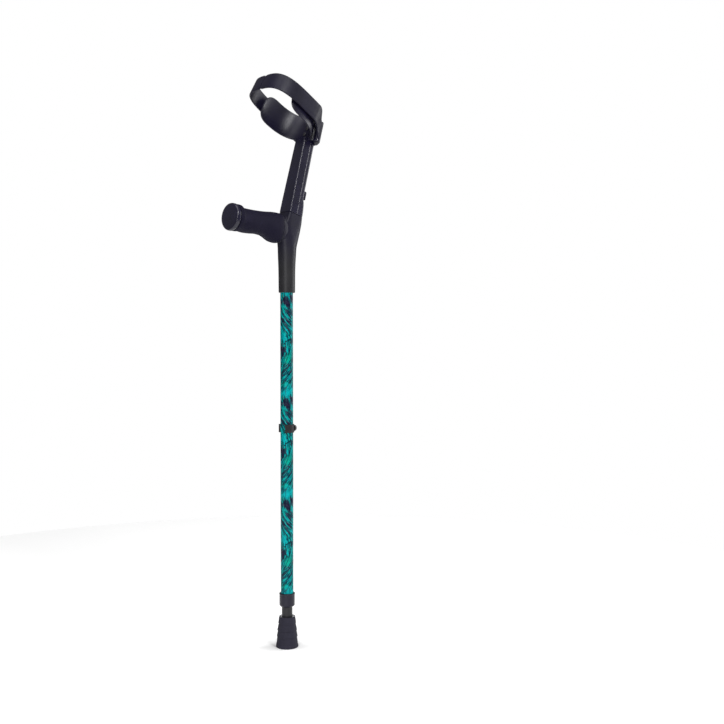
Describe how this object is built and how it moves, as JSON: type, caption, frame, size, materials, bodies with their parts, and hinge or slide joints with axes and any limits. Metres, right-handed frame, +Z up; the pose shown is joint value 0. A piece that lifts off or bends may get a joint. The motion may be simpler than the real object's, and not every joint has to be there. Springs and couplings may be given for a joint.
{
  "type": "forearm crutch",
  "caption": "Height-adjustable forearm crutch with a rubber-tipped tube, a forward hand grip and a closed cuff whose sprung flaps hinge open",
  "frame": {"origin": "centre of the ferrule's base, on the tube's axis", "axes": "+Z up along the tube; -Y the way the hand grip points, away from the forearm section, which leans back to +Y; +X is the side seen nearest in the picture"},
  "size_m": [0.0996, 0.1933, 0.9868],
  "materials": {
    "plastic": "satin black moulded plastic",
    "grip_rubber": "soft matt black grip rubber",
    "ferrule_rubber": "matt dark grey rubber",
    "leg_metal": "black coated aluminium tube",
    "printed_tube": "glossy teal marbled print under clear lacquer",
    "steel": "plain bright steel"
  },
  "bodies": {
    "frame": {"outer_tube": "printed_tube", "lower_collar": "plastic", "height_clip": "plastic", "handle_body": "plastic", "neck_cross_pin": "steel", "grip_sleeve": "grip_rubber", "grip_end_cap": "plastic"},
    "leg": {"ferrule": "ferrule_rubber", "ferrule_washer": "steel", "inner_leg_tube": "leg_metal", "leg_top_plug": "plastic"},
    "height_pin": {"height_pin": "plastic"},
    "cuff_carrier": {"forearm_sleeve": "plastic", "cuff_shell": "plastic", "hinge_bracket": "plastic", "upper_cuff_screw": "steel", "lower_cuff_screw": "steel", "right_hinge_pin": "steel", "left_hinge_pin": "steel", "right_torsion_spring": "steel", "left_torsion_spring": "steel"},
    "cuff_peg": {"cuff_lock_peg": "plastic"},
    "right_flap": {"right_flap": "plastic"},
    "left_flap": {"left_flap": "plastic"}
  },
  "joints": [
    {"name": "leg_slide", "type": "slide", "parent": "frame", "child": "leg", "axis": [0, 0, -1], "range_m": [0, 0.15]},
    {"name": "height_pin_pull", "type": "slide", "parent": "frame", "child": "height_pin", "axis": [0.1736, 0.9848, 0], "range_m": [0, 0.012], "stiffness_N_per_m": 400},
    {"name": "cuff_height_slide", "type": "slide", "parent": "frame", "child": "cuff_carrier", "axis": [0, 0.2656, 0.9641], "range_m": [0, 0.06]},
    {"name": "cuff_peg_pull", "type": "slide", "parent": "cuff_carrier", "child": "cuff_peg", "axis": [0, 0.9641, -0.2656], "range_m": [0, 0.01]},
    {"name": "right_flap_hinge", "type": "hinge", "parent": "cuff_carrier", "child": "right_flap", "pos_m": [0.0242, 0.05272, 0.89956], "axis": [0, 0.2656, 0.9641], "range_deg": [0, 70], "stiffness_Nm_per_rad": 0.15},
    {"name": "left_flap_hinge", "type": "hinge", "parent": "cuff_carrier", "child": "left_flap", "pos_m": [-0.0242, 0.05272, 0.89956], "axis": [0, -0.2656, -0.9641], "range_deg": [0, 70], "stiffness_Nm_per_rad": 0.15}
  ]
}
